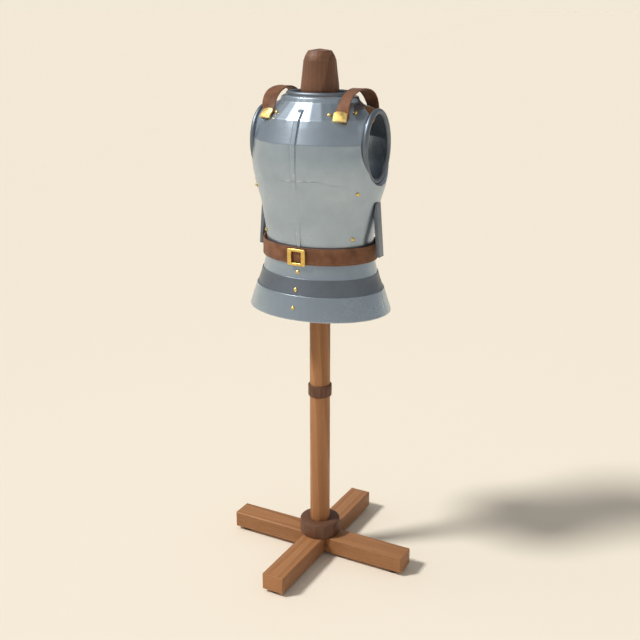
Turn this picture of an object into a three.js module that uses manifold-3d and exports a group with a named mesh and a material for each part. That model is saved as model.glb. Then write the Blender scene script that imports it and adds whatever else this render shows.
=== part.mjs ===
// Steel cuirass (breastplate and backplate with fauld, straps and belt) on a wooden display stand.
// Millimetres, +Z up, origin on the floor under the post; the front of the armour faces -Y.
// "left" and "right" are the wearer's, so left is +X.
import * as THREE from 'three';
import { mergeVertices } from 'three/addons/utils/BufferGeometryUtils.js';
import Module from 'manifold-3d';

const wasm = await Module();
wasm.setup();

// ---- driving dimensions ----
const GAP = 0.3; // between touching pieces
const DEPTH_RATIO = 0.78; // depth of the body over its width
const PLATE = 2; // breastplate and backplate
const LAME = 1.5; // fauld bands
const SEAM = 0.5; // each half stops this far from the side plane

// Body sections from the waist flange up to the neck.
const BODY = [
  { z: 955, halfWidth: 162.4 },
  { z: 963, halfWidth: 158.6 },
  { z: 973, halfWidth: 156.2 },
  { z: 1000, halfWidth: 156.6 },
  { z: 1031, halfWidth: 161 },
  { z: 1075, halfWidth: 168 },
  { z: 1110, halfWidth: 175 },
  { z: 1150, halfWidth: 187 },
  { z: 1206, halfWidth: 195 },
  { z: 1270, halfWidth: 190.5, crease: true },
  { z: 1330.5, halfWidth: 162, crease: true },
  { z: 1371, halfWidth: 113.5, crease: true },
  { z: 1384, halfWidth: 107.5, crease: true },
  { z: 1387, halfWidth: 97.5, crease: true },
];
const BODY_ROWS = [
  955, 963, 973, 1000, 1035, 1075, 1110, 1140, 1155, 1160, 1165, 1175, 1188, 1202, 1217, 1233,
  1251, 1270, 1290, 1311, 1330.5, 1341, 1349, 1356, 1363.5, 1371, 1384, 1387,
];

// Skirt sections; every band follows them at its own lift, each lower band outside the one above.
const SKIRT = [
  { z: 798, halfWidth: 208 },
  { z: 852, halfWidth: 190 },
  { z: 897, halfWidth: 174 },
  { z: 951, halfWidth: 160 },
  { z: 965, halfWidth: 156.4 },
];
const SKIRT_BANDS = [
  { rows: [897, 940, 963], lift: -1.9, dark: false },
  { rows: [852, 897, 908], lift: 0.2, dark: true },
  { rows: [798, 852, 863], lift: 2.3, dark: false },
];

// Armhole: the plate meets a roll in one upright plane, up to a seat away to either side of it; a lip
// of the plate runs up to it where the shell passes further off, and widens to a flange on top.
const ARM = {
  x: 170, z: 1258, rollY: 72, rollZ: 92, rollRadius: 8,
  clearance: 1.1, seat: 7.8, rimWidth: 6, lip: 0.05, flange: 0.13,
};
// On top of the shoulder the front and back stand apart, arched over the stand's bar.
const SLOT = { low: 1338, high: 1363.5, halfWidth: 35 };
const NECK = { z: 1389.7, halfWidth: 89.1, halfDepth: 68.5, rollRadius: 7 };

const RIDGE = { halfWidth: 7, shoulder: 4.5, shoulderShare: 0.8 };
const RIDGE_HEIGHTS = [
  { z: 973, height: 0 },
  { z: 990, height: 2 },
  { z: 1060, height: 1.8 },
  { z: 1115, height: 0.8 },
  { z: 1165, height: 1.2 },
  { z: 1206, height: 2.2 },
  { z: 1270, height: 3.5 },
  { z: 1330.5, height: 4.8 },
  { z: 1349, height: 5.4 },
  { z: 1356, height: 0 },
];
const COLUMNS = 8; // columns from the ridge to the plate's edge, closer together towards the edge
const COLUMN_CROWDING = 1.4;

const STRAP = { width: 38, thickness: 3.5, clearance: 3, columns: 3 };
// Middle line of the left strap from its front end over the shoulder; turn yaws its width in degrees,
// and a packed section is filled down to the plate.
const STRAP_PATH = [
  { x: 109, y: -100.2, z: 1332.5, turn: 15, packed: true },
  { x: 109, y: -92.8, z: 1340.5, turn: 15, packed: true },
  { x: 109.2, y: -86, z: 1349, turn: 12, packed: true },
  { x: 110.2, y: -82.6, z: 1358, turn: -2 },
  { x: 111.3, y: -80, z: 1367, turn: -14 },
  { x: 112.4, y: -73, z: 1378, turn: -20 },
  { x: 113.1, y: -61, z: 1388.5, turn: -22 },
  { x: 113.5, y: -43.5, z: 1397.5, turn: -20 },
  { x: 113.8, y: -22, z: 1403.3, turn: -11 },
  { x: 114, y: 2, z: 1405.5, turn: 0 },
  { x: 114.2, y: 26, z: 1403.3, turn: 8 },
  { x: 114.7, y: 47, z: 1397, turn: 12 },
  { x: 115.3, y: 64, z: 1387.5, turn: 12 },
  { x: 116, y: 77, z: 1374, turn: 6 },
  { x: 116.8, y: 85.5, z: 1359.5, turn: -4 },
  { x: 117.8, y: 90, z: 1345, turn: -16 },
  { x: 118.7, y: 93.5, z: 1330.5, turn: -27 },
  { x: 119.2, y: 98.5, z: 1315.8, turn: -33 },
  { x: 119.3, y: 104.4, z: 1300.8, turn: -36 },
  { x: 119.3, y: 108.4, z: 1292, turn: -36 },
];
const STRAP_PLATE = {
  width: 36, length: 30, thickness: 7, corner: 6, chamfer: 0.8,
  x: 109.2, y: -93.9, z: 1341.3, turn: 15, tilt: 42,
};

const BELT = { low: 947.5, high: 994, halfWidth: 169, halfDepth: 131.8, thickness: 4.5 };
const BUCKLE = {
  z: 967.5, width: 54, height: 46, post: 12, bar: 7.5, thickness: 6.5, corner: 3, chamfer: 0.8,
};
// A side plate is thinned from behind towards its top, where it follows the shell.
const SIDE_PLATE = {
  width: 28, thickness: 10, low: 961.5, high: 1109, bottomX: 191.2, topX: 179,
  thinFrom: 1080, thinX: 170, topThickness: 3.2, chamfer: 1,
};
const RIVET = { radius: 5.6, height: 4.2, sides: 7 };

const POST = { radius: 30, sides: 24 };
const LEG = { half: 290, width: 69, height: 50, low: 10.8, chamfer: 2.5 };
const FOOT = { radius: 24, inset: 33 };
const LEG_TOP = LEG.low + LEG.height;
const COLLAR = { radius: 60.6, high: 107.5, chamfer: 4 };
const POST_RING = { radius: 35, low: 517, high: 553.5, chamfer: 3 };
const BAR = { z: 1339, radius: 21.5, halfLength: 156, sides: 20 };
const BLOCK_PROFILE = [
  { z: 1367.3, radius: 48 },
  { z: 1400, radius: 52.2 },
  { z: 1415, radius: 51 },
  { z: 1475, radius: 44 },
  { z: 1488, radius: 39 },
  { z: 1500, radius: 31.5 },
];
const BLOCK_TOP = 1505;

// ---- materials ----
const steel = (color, roughness) => new THREE.MeshStandardMaterial({ color, roughness, metalness: 0.9 });
const plateSteel = () => steel(0x9ba3a2, 0.35);
const darkSteel = () => steel(0x5a636b, 0.4);
const brass = () => new THREE.MeshStandardMaterial({ color: 0xe1af46, roughness: 0.3, metalness: 0.9 });
const leather = () => new THREE.MeshStandardMaterial({ color: 0x825541, roughness: 0.7, metalness: 0 });
const wood = (color) => new THREE.MeshStandardMaterial({ color, roughness: 0.6, metalness: 0 });
const paleWood = () => wood(0xa56e4b);
const darkWood = () => wood(0x644637);
const rubber = () => new THREE.MeshStandardMaterial({ color: 0x2c2724, roughness: 0.8, metalness: 0 });

const cuirass = new THREE.Group();

function add(name, geometry, material, place) {
  const mesh = new THREE.Mesh(geometry, material);
  mesh.name = name;
  if (place) mesh.applyMatrix4(place);
  cuirass.add(mesh);
  return mesh;
}

// ---- shared shapes ----
const UP = new THREE.Vector3(0, 0, 1);

// An outline given thickness, from z 0 up, with small chamfers along its edges.
function extruded(outline, thickness, chamfer) {
  const geometry = new THREE.ExtrudeGeometry(outline, {
    depth: thickness - 2 * chamfer,
    curveSegments: 2,
    bevelEnabled: true,
    bevelThickness: chamfer,
    bevelSize: chamfer,
    bevelOffset: -chamfer,
    bevelSegments: 1,
  });
  geometry.translate(0, 0, chamfer);
  return geometry;
}

// ---- sections ----
const radians = THREE.MathUtils.degToRad;
const sides = [
  { name: 'left', sign: 1 },
  { name: 'right', sign: -1 },
];

// Slope of a table's column from one row to the next, or null past its ends.
function slopeFrom(table, index, key) {
  if (index < 0 || index >= table.length - 1) return null;
  return (table[index + 1][key] - table[index][key]) / (table[index + 1].z - table[index].z);
}

// Value of a table's column at a height: smooth through the rows, straight between creased ones.
function sectionAt(table, key, z) {
  let low = 0;
  while (low < table.length - 2 && z > table[low + 1].z) low += 1;
  const high = low + 1;
  const span = table[high].z - table[low].z;
  const t = THREE.MathUtils.clamp((z - table[low].z) / span, 0, 1);
  const own = slopeFrom(table, low, key);
  const tangent = (index, neighbour) => {
    if (neighbour === null || table[index].crease) return own;
    if (neighbour * own <= 0) return 0;
    return (2 * neighbour * own) / (neighbour + own);
  };
  const lowSlope = tangent(low, slopeFrom(table, low - 1, key));
  const highSlope = tangent(high, slopeFrom(table, high, key));
  const t2 = t * t;
  const t3 = t2 * t;
  return (2 * t3 - 3 * t2 + 1) * table[low][key] + (t3 - 2 * t2 + t) * span * lowSlope
    + (3 * t2 - 2 * t3) * table[high][key] + (t3 - t2) * span * highSlope;
}

const bodyHalfWidth = (z) => sectionAt(BODY, 'halfWidth', z);

// Where the plate's outside meets the arm roll, at an angle up from level in the roll's plane: its x
// and the half axes of its edge there.
function armRim(angle) {
  const y = (ARM.rollY + ARM.rimWidth) * Math.cos(angle);
  const z = ARM.z + (ARM.rollZ + ARM.rimWidth) * Math.sin(angle);
  const halfWidth = bodyHalfWidth(z);
  const shellX = halfWidth * Math.sqrt(Math.max(0, 1 - (y / (halfWidth * DEPTH_RATIO)) ** 2));
  const beside = THREE.MathUtils.clamp(shellX - ARM.x, -ARM.seat, ARM.seat);
  const nearest = beside > 0 ? Math.max(0, beside - PLATE) : beside;
  const around = Math.sqrt((ARM.rollRadius + ARM.clearance) ** 2 - nearest ** 2);
  return { x: ARM.x + beside, halfY: ARM.rollY + around, halfZ: ARM.rollZ + around };
}

// The plate's outer x beside the armhole, where it turns out or in to the roll.
function flaredX(x, y, z) {
  const angle = Math.atan2((z - ARM.z) / ARM.rollZ, Math.abs(y) / ARM.rollY);
  const rim = armRim(angle);
  const reach = Math.hypot(y / rim.halfY, (z - ARM.z) / rim.halfZ);
  const width = ARM.lip + ARM.flange * Math.max(0, Math.sin(angle));
  const t = THREE.MathUtils.clamp((reach - 1) / width, 0, 1);
  return THREE.MathUtils.lerp(rim.x, x, t * t * (3 - 2 * t));
}

// How far from the side plane the plate ends at a height: at the armhole, the slot or the side seam.
function edgeDistance(z) {
  let distance = SEAM;
  let low = -Math.PI / 2;
  let high = Math.PI / 2;
  const height = (angle) => ARM.z + armRim(angle).halfZ * Math.sin(angle);
  if (z > height(low) && z < height(high)) {
    for (let i = 0; i < 40; i += 1) {
      const middle = (low + high) / 2;
      if (height(middle) < z) low = middle;
      else high = middle;
    }
    distance = Math.max(distance, armRim(low).halfY * Math.cos(low));
  }
  if (z > SLOT.low && z < SLOT.high) {
    const part = (z - SLOT.low) / (SLOT.high - SLOT.low);
    distance = Math.max(distance, SLOT.halfWidth * Math.sqrt(1 - part ** 2));
  }
  return distance;
}

// A point of the front half on the left side, at an angle from the front centre line.
function bodyPoint(angle, z) {
  const halfWidth = bodyHalfWidth(z);
  const x = halfWidth * Math.sin(angle);
  const y = -halfWidth * DEPTH_RATIO * Math.cos(angle);
  const flared = angle > 0.4 ? flaredX(x, y, z) : x;
  return new THREE.Vector3(flared, y, z);
}

// The outward normal there.
function bodyNormal(angle, z) {
  const step = 0.001;
  const across = bodyPoint(angle + step, z).sub(bodyPoint(angle - step, z));
  const above = Math.min(z + 0.1, BODY[BODY.length - 1].z);
  const below = Math.max(z - 0.1, BODY[0].z);
  const up = bodyPoint(angle, above).sub(bodyPoint(angle, below));
  return across.cross(up).normalize();
}

// The body's point and outward normal at a height and a distance from the centre line.
function bodyFrame(x, z, sign) {
  let low = 0;
  let high = Math.PI / 2;
  for (let i = 0; i < 40; i += 1) {
    const middle = (low + high) / 2;
    if (bodyPoint(middle, z).x < x) low = middle;
    else high = middle;
  }
  const onSide = new THREE.Vector3(sign, 1, 1);
  return { point: bodyPoint(low, z).multiply(onSide), normal: bodyNormal(low, z).multiply(onSide) };
}

// ---- closed walls from grids of points ----

// Normals of a grid whose columns run left to right as seen from outside and whose rows run upwards.
function gridNormals(grid) {
  return grid.map((row, r) => row.map((point, c) => {
    const across = row[Math.min(c + 1, row.length - 1)].clone().sub(row[Math.max(c - 1, 0)]);
    const above = grid[Math.min(r + 1, grid.length - 1)][c];
    const below = grid[Math.max(r - 1, 0)][c];
    return across.cross(above.clone().sub(below)).normalize();
  }));
}

function offsetGrid(grid, distance) {
  const normals = gridNormals(grid);
  return grid.map((row, r) => row.map((point, c) => point.clone().addScaledVector(normals[r][c], distance)));
}

// The solid between an outer and an inner grid, closed round its four edges.
function wallBetween(outer, inner) {
  const rows = outer.length;
  const columns = outer[0].length;
  const positions = [];
  [outer, inner].forEach((grid) => grid.forEach((row) => row.forEach((p) => positions.push(p.x, p.y, p.z))));
  const at = (side, r, c) => side * rows * columns + r * columns + c;
  const index = [];
  const quad = (a, b, c, d) => index.push(a, b, c, a, c, d);
  for (let r = 0; r < rows - 1; r += 1) {
    for (let c = 0; c < columns - 1; c += 1) {
      quad(at(0, r, c), at(0, r, c + 1), at(0, r + 1, c + 1), at(0, r + 1, c));
      quad(at(1, r, c), at(1, r + 1, c), at(1, r + 1, c + 1), at(1, r, c + 1));
    }
    quad(at(0, r, columns - 1), at(1, r, columns - 1), at(1, r + 1, columns - 1), at(0, r + 1, columns - 1));
    quad(at(1, r, 0), at(0, r, 0), at(0, r + 1, 0), at(1, r + 1, 0));
  }
  for (let c = 0; c < columns - 1; c += 1) {
    quad(at(1, 0, c), at(1, 0, c + 1), at(0, 0, c + 1), at(0, 0, c));
    quad(at(0, rows - 1, c), at(0, rows - 1, c + 1), at(1, rows - 1, c + 1), at(1, rows - 1, c));
  }
  const geometry = new THREE.BufferGeometry();
  geometry.setAttribute('position', new THREE.Float32BufferAttribute(positions, 3));
  geometry.setIndex(index);
  return geometry;
}

const wall = (grid, thickness) => wallBetween(grid, offsetGrid(grid, -thickness));

// ---- breastplate and backplate ----

// Columns of one row as angle and ridge share, from the centre line to the plate's edge.
function plateColumns(z) {
  const halfWidth = bodyHalfWidth(z);
  const ridgeAngle = (x) => Math.asin(x / halfWidth);
  const edge = Math.acos(edgeDistance(z) / (halfWidth * DEPTH_RATIO));
  const columns = [
    { angle: 0, share: 1 },
    { angle: ridgeAngle(RIDGE.shoulder), share: RIDGE.shoulderShare },
    { angle: ridgeAngle(RIDGE.halfWidth), share: 0 },
  ];
  const start = columns[2].angle;
  for (let i = 1; i <= COLUMNS; i += 1) {
    const part = 1 - (1 - i / COLUMNS) ** COLUMN_CROWDING;
    columns.push({ angle: start + (edge - start) * part, share: 0 });
  }
  return columns;
}

// One half of the body as a wall; facing is 1 for the front and -1 for the back.
function plateGeometry(facing, ridged) {
  const outer = [];
  const inner = [];
  const mirror = new THREE.Vector3(-1, 1, 1);
  const turn = new THREE.Vector3(facing, facing, 1);
  BODY_ROWS.forEach((z) => {
    const height = ridged ? sectionAt(RIDGE_HEIGHTS, 'height', z) : 0;
    const half = plateColumns(z).map(({ angle, share }) => {
      const point = bodyPoint(angle, z);
      point.y -= height * share;
      return { point, under: point.clone().addScaledVector(bodyNormal(angle, z), -PLATE) };
    });
    const whole = (key) => [
      ...half.slice(1).reverse().map((column) => column[key].clone().multiply(mirror)),
      ...half.map((column) => column[key].clone()),
    ].map((point) => point.multiply(turn));
    outer.push(whole('point'));
    inner.push(whole('under'));
  });
  return wallBetween(outer, inner);
}

function addBodyPlates() {
  add('breastplate', plateGeometry(1, true), plateSteel());
  add('backplate', plateGeometry(-1, false), plateSteel());
}

// ---- rolled edges ----

// Half of an ellipse: start, halfway and end lie at start + t * sweep in the plane of two half axes.
class EllipseArc extends THREE.Curve {
  constructor(centre, first, second, start, sweep) {
    super();
    Object.assign(this, { centre, first, second, start, sweep });
  }

  getPoint(t, target = new THREE.Vector3()) {
    const angle = this.start + t * this.sweep;
    return target.copy(this.centre)
      .addScaledVector(this.first, Math.cos(angle))
      .addScaledVector(this.second, Math.sin(angle));
  }
}

// A round wire along a path.
function tube(path, radius) {
  const section = new THREE.Shape();
  section.absarc(0, 0, radius, 0, 2 * Math.PI);
  return new THREE.ExtrudeGeometry(section, {
    steps: 16,
    curveSegments: 4,
    bevelEnabled: false,
    extrudePath: path,
  });
}

function addRolls() {
  const endAngle = 0.009; // keeps the two halves apart at the side seam
  ['front', 'back'].forEach((half, index) => {
    const facing = index === 0 ? -1 : 1;
    const neck = new EllipseArc(
      new THREE.Vector3(0, 0, NECK.z),
      new THREE.Vector3(NECK.halfWidth, 0, 0),
      new THREE.Vector3(0, facing * NECK.halfDepth, 0),
      endAngle,
      Math.PI - 2 * endAngle,
    );
    add(`neck_roll_${half}`, tube(neck, NECK.rollRadius), darkSteel());
    sides.forEach((side) => {
      const arm = new EllipseArc(
        new THREE.Vector3(side.sign * ARM.x, 0, ARM.z),
        new THREE.Vector3(0, 0, ARM.rollZ),
        new THREE.Vector3(0, facing * ARM.rollY, 0),
        endAngle,
        Math.PI - 2 * endAngle,
      );
      add(`arm_roll_${half}_${side.name}`, tube(arm, ARM.rollRadius), darkSteel());
    });
  });
}

// ---- skirt bands ----

function skirtPoint(angle, z, lift) {
  const halfWidth = sectionAt(SKIRT, 'halfWidth', z);
  return new THREE.Vector3(
    (halfWidth + lift) * Math.sin(angle),
    -(halfWidth * DEPTH_RATIO + lift) * Math.cos(angle),
    z,
  );
}

function skirtGrid(band, facing) {
  const steps = 16;
  return band.rows.map((z) => {
    const halfDepth = sectionAt(SKIRT, 'halfWidth', z) * DEPTH_RATIO + band.lift;
    const edge = Math.acos(SEAM / halfDepth);
    return Array.from({ length: steps + 1 }, (_, i) => {
      const point = skirtPoint(-edge + (2 * edge * i) / steps, z, band.lift);
      return facing > 0 ? point : new THREE.Vector3(-point.x, -point.y, point.z);
    });
  });
}

function addSkirt() {
  SKIRT_BANDS.forEach((band, index) => {
    const material = () => (band.dark ? darkSteel() : plateSteel());
    add(`fauld_lame_${index + 1}`, wall(skirtGrid(band, 1), LAME), material());
    add(`culet_lame_${index + 1}`, wall(skirtGrid(band, -1), LAME), material());
  });
}

// ---- straps ----

// Straight-line distance from a point along a direction to the plate's outside, plus a gap.
function dropToBody(point, direction) {
  const inside = (distance) => {
    const p = point.clone().addScaledVector(direction, distance);
    const halfWidth = bodyHalfWidth(p.z) + STRAP.clearance;
    const share = 1 - (p.y / (halfWidth * DEPTH_RATIO)) ** 2;
    return share > 0 && p.x < flaredX(halfWidth * Math.sqrt(share), p.y, p.z) + GAP;
  };
  let distance = 0;
  while (distance < 40 && !inside(distance)) distance += 0.25;
  return distance;
}

// Sections of the left strap: middle, width direction and outward direction.
function strapSections() {
  return STRAP_PATH.map((station, index) => {
    const before = STRAP_PATH[Math.max(index - 1, 0)];
    const after = STRAP_PATH[Math.min(index + 1, STRAP_PATH.length - 1)];
    const along = new THREE.Vector3(after.x - before.x, after.y - before.y, after.z - before.z).normalize();
    const turn = radians(station.turn);
    const across = new THREE.Vector3(Math.cos(turn), Math.sin(turn), 0);
    across.addScaledVector(along, -across.dot(along)).normalize();
    const outward = across.clone().cross(along);
    const middle = new THREE.Vector3(station.x, station.y, station.z);
    return { middle, across, outward, packed: station.packed };
  });
}

// The left strap, or with some spare all round the room it needs.
function strapGeometry(spare) {
  const { columns } = STRAP;
  const width = STRAP.width + 2 * spare;
  const depth = STRAP.thickness / 2 + spare;
  const outer = [];
  const inner = [];
  strapSections().forEach((section) => {
    const outerRow = [];
    const innerRow = [];
    for (let c = 0; c <= columns; c += 1) {
      const side = section.middle.clone().addScaledVector(section.across, width * (c / columns - 0.5));
      const top = side.clone().addScaledVector(section.outward, depth);
      const drop = section.packed ? dropToBody(side, section.outward.clone().negate()) + spare : depth;
      outerRow.push(top);
      innerRow.push(side.clone().addScaledVector(section.outward, -Math.max(drop, depth)));
    }
    outer.push(outerRow);
    inner.push(innerRow);
  });
  return wallBetween(outer, inner);
}

// The same piece on the other side of the armour.
function mirrored(geometry) {
  const copy = geometry.clone();
  copy.scale(-1, 1, 1);
  const index = copy.getIndex().array;
  for (let i = 0; i < index.length; i += 3) [index[i], index[i + 1]] = [index[i + 1], index[i]];
  return copy;
}

// To and from the solids that can be cut and joined.
function solid(geometry) {
  const plain = geometry.clone();
  plain.deleteAttribute('normal');
  plain.deleteAttribute('uv');
  const merged = mergeVertices(plain, 1e-4);
  return new wasm.Manifold(new wasm.Mesh({
    numProp: 3,
    vertProperties: Float32Array.from(merged.getAttribute('position').array),
    triVerts: Uint32Array.from(merged.getIndex().array),
  }));
}

function fromSolid(shape) {
  const mesh = shape.getMesh();
  const geometry = new THREE.BufferGeometry();
  geometry.setAttribute('position', new THREE.BufferAttribute(Float32Array.from(mesh.vertProperties), 3));
  geometry.setIndex(Array.from(mesh.triVerts));
  return geometry;
}

// Brass plate: its top corners are cut, and its underside is open for the strap's end.
function strapPlateGeometry() {
  const { width, length, thickness, corner, chamfer } = STRAP_PLATE;
  const outline = new THREE.Shape([
    new THREE.Vector2(-width / 2, -length / 2),
    new THREE.Vector2(width / 2, -length / 2),
    new THREE.Vector2(width / 2, length / 2 - corner),
    new THREE.Vector2(width / 2 - corner, length / 2),
    new THREE.Vector2(corner - width / 2, length / 2),
    new THREE.Vector2(-width / 2, length / 2 - corner),
  ]);
  const block = extruded(outline, thickness, chamfer);
  block.translate(0, 0, -thickness / 2);
  // outline x runs across, outline y runs up the slope, and the depth points outwards
  const tilt = radians(STRAP_PLATE.tilt);
  const turn = radians(STRAP_PLATE.turn);
  const across = new THREE.Vector3(Math.cos(turn), Math.sin(turn), 0);
  const level = new THREE.Vector3(Math.sin(turn), -Math.cos(turn), 0);
  const outward = level.multiplyScalar(Math.cos(tilt)).addScaledVector(UP, Math.sin(tilt));
  const up = outward.clone().cross(across);
  const place = new THREE.Matrix4().makeBasis(across, up, outward);
  place.setPosition(STRAP_PLATE.x, STRAP_PLATE.y, STRAP_PLATE.z);
  block.applyMatrix4(place);
  const cut = solid(block).subtract(solid(strapGeometry(GAP))).decompose();
  const largest = cut.reduce((best, piece) => (piece.volume() > best.volume() ? piece : best));
  return fromSolid(largest);
}

function addStraps() {
  const strap = strapGeometry(0);
  const plate = strapPlateGeometry();
  sides.forEach((side) => {
    add(`shoulder_strap_${side.name}`, side.sign > 0 ? strap : mirrored(strap), leather());
    add(`strap_plate_${side.name}`, side.sign > 0 ? plate : mirrored(plate), brass());
  });
}

// ---- belt and buckle ----

function addBelt() {
  const loop = new THREE.Shape();
  loop.absellipse(0, 0, BELT.halfWidth, BELT.halfDepth, 0, 2 * Math.PI);
  const inside = new THREE.Path();
  const { halfWidth, halfDepth, thickness } = BELT;
  inside.absellipse(0, 0, halfWidth - thickness, halfDepth - thickness, 0, 2 * Math.PI);
  loop.holes.push(inside);
  const geometry = new THREE.ExtrudeGeometry(loop, {
    depth: BELT.high - BELT.low,
    curveSegments: 20,
    bevelEnabled: false,
  });
  geometry.translate(0, 0, BELT.low);
  add('belt', geometry, leather());
}

function squareOutline(Kind, width, height, corner) {
  const outline = new Kind();
  const x = width / 2;
  const y = height / 2;
  outline.moveTo(-x + corner, -y);
  outline.lineTo(x - corner, -y);
  outline.absarc(x - corner, -y + corner, corner, -Math.PI / 2, 0);
  outline.lineTo(x, y - corner);
  outline.absarc(x - corner, y - corner, corner, 0, Math.PI / 2);
  outline.lineTo(-x + corner, y);
  outline.absarc(-x + corner, y - corner, corner, Math.PI / 2, Math.PI);
  outline.lineTo(-x, -y + corner);
  outline.absarc(-x + corner, -y + corner, corner, Math.PI, 1.5 * Math.PI);
  return outline;
}

function addBuckle() {
  const frame = squareOutline(THREE.Shape, BUCKLE.width, BUCKLE.height, BUCKLE.corner);
  const inner = { width: BUCKLE.width - 2 * BUCKLE.post, height: BUCKLE.height - 2 * BUCKLE.bar };
  frame.holes.push(squareOutline(THREE.Path, inner.width, inner.height, BUCKLE.corner));
  const geometry = extruded(frame, BUCKLE.thickness, BUCKLE.chamfer);
  geometry.rotateX(Math.PI / 2);
  geometry.translate(0, -BELT.halfDepth - GAP, BUCKLE.z);
  add('belt_buckle', geometry, brass());
}

// ---- side plates ----

function addSidePlates() {
  const { width, thickness, low, high, topX, bottomX, chamfer } = SIDE_PLATE;
  const outline = new THREE.Shape([
    new THREE.Vector2(bottomX, low),
    new THREE.Vector2(topX, high),
    new THREE.Vector2(topX - SIDE_PLATE.topThickness, high),
    new THREE.Vector2(SIDE_PLATE.thinX, SIDE_PLATE.thinFrom),
    new THREE.Vector2(bottomX - thickness, low),
  ]);
  const geometry = extruded(outline, width, chamfer);
  geometry.rotateX(Math.PI / 2);
  geometry.translate(0, width / 2, 0);
  sides.forEach((side) => {
    const turn = new THREE.Matrix4().makeRotationZ(side.sign > 0 ? 0 : Math.PI);
    add(`side_plate_${side.name}`, geometry, darkSteel(), turn);
  });
}

// ---- rivets ----

function rivetGeometry() {
  const { radius, height, sides: count } = RIVET;
  const profile = [
    new THREE.Vector2(0, 0),
    new THREE.Vector2(radius, 0),
    new THREE.Vector2(radius * 0.92, height * 0.42),
    new THREE.Vector2(radius * 0.6, height * 0.84),
    new THREE.Vector2(0, height),
  ];
  const geometry = new THREE.LatheGeometry(profile, count);
  geometry.rotateX(Math.PI / 2);
  return geometry;
}

function addRivet(name, point, normal, clearance = GAP) {
  const turn = new THREE.Quaternion().setFromUnitVectors(UP, normal);
  const place = new THREE.Matrix4().makeRotationFromQuaternion(turn);
  place.setPosition(point.clone().addScaledVector(normal, clearance));
  add(name, rivetGeometry(), brass(), place);
}

function addRivets() {
  const plateRivets = [
    { name: 'strap_rivet_inner', x: 78.5, z: 1344.6, clearance: 2 * GAP },
    { name: 'strap_rivet_outer', x: 130.3, z: 1347.7, clearance: 4 * GAP },
    { name: 'chest_rivet', x: 155, z: 1143, clearance: 2 * GAP },
    { name: 'waist_rivet', x: 134, z: 1017, clearance: 2 * GAP },
  ];
  plateRivets.forEach(({ name, x, z, clearance }) => sides.forEach((side) => {
    const { point, normal } = bodyFrame(x, z, side.sign);
    addRivet(`${name}_${side.name}`, point, normal, clearance);
  }));
  SKIRT_BANDS.forEach((band, index) => {
    const z = [925, 878, 830][index];
    const point = skirtPoint(0, z, band.lift);
    const above = skirtPoint(0, z + 1, band.lift);
    const normal = new THREE.Vector3(0, -1, 0).addScaledVector(UP, -(point.y - above.y)).normalize();
    addRivet(`fauld_rivet_${index + 1}`, point, normal);
    addRivet(`culet_rivet_${index + 1}`, point.clone().setY(-point.y), normal.clone().setY(-normal.y));
  });
}

// ---- stand ----

function lathe(profile, count) {
  const geometry = new THREE.LatheGeometry(profile.map((p) => new THREE.Vector2(p.radius, p.z)), count);
  geometry.rotateX(Math.PI / 2);
  return geometry;
}

function ringProfile(inner, outer, low, high, chamfer) {
  return [
    { radius: inner, z: low },
    { radius: outer - chamfer, z: low },
    { radius: outer, z: low + chamfer },
    { radius: outer, z: high - chamfer },
    { radius: outer - chamfer, z: high },
    { radius: inner, z: high },
    { radius: inner, z: low },
  ];
}

// The shoulder bar, or with some spare the hole it needs.
function barGeometry(spare) {
  const length = 2 * (BAR.halfLength + spare);
  const geometry = new THREE.CylinderGeometry(BAR.radius + spare, BAR.radius + spare, length, BAR.sides);
  geometry.rotateZ(Math.PI / 2);
  geometry.translate(0, 0, BAR.z);
  return geometry;
}

// The post, with the shoulder bar through its top, and the parts turned to go round and over it.
function addPost() {
  const low = LEG_TOP + GAP;
  const high = BLOCK_PROFILE[0].z - GAP;
  const post = lathe([
    { radius: 0, z: low },
    { radius: POST.radius, z: low },
    { radius: POST.radius, z: high },
    { radius: 0, z: high },
  ], POST.sides);
  add('post', fromSolid(solid(post).subtract(solid(barGeometry(GAP)))), paleWood());
  add('shoulder_bar', barGeometry(0), paleWood());
  const hole = POST.radius + GAP;
  const ring = ringProfile(hole, POST_RING.radius, POST_RING.low, POST_RING.high, POST_RING.chamfer);
  add('post_ring', lathe(ring, POST.sides), darkWood());
  const collar = ringProfile(hole, COLLAR.radius, LEG_TOP + GAP, COLLAR.high, COLLAR.chamfer);
  add('base_collar', lathe(collar, 24), darkWood());
  const block = [{ radius: 0, z: BLOCK_PROFILE[0].z }, ...BLOCK_PROFILE, { radius: 0, z: BLOCK_TOP }];
  add('neck_block', lathe(block, 24), darkWood());
}

// One beam of the cross, notched half way through for the other, along X.
function legGeometry(notchUp) {
  const notch = LEG.width / 2 + GAP;
  const middle = LEG.low + LEG.height / 2;
  const low = LEG.low;
  const outline = notchUp
    ? [[-LEG.half, low], [LEG.half, low], [LEG.half, LEG_TOP], [notch, LEG_TOP], [notch, middle - GAP / 2],
      [-notch, middle - GAP / 2], [-notch, LEG_TOP], [-LEG.half, LEG_TOP]]
    : [[-LEG.half, low], [-notch, low], [-notch, middle + GAP / 2], [notch, middle + GAP / 2], [notch, low],
      [LEG.half, low], [LEG.half, LEG_TOP], [-LEG.half, LEG_TOP]];
  const shape = new THREE.Shape(outline.map(([x, z]) => new THREE.Vector2(x, z)));
  const geometry = extruded(shape, LEG.width, LEG.chamfer);
  geometry.rotateX(Math.PI / 2);
  geometry.translate(0, LEG.width / 2, 0);
  return geometry;
}

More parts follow.
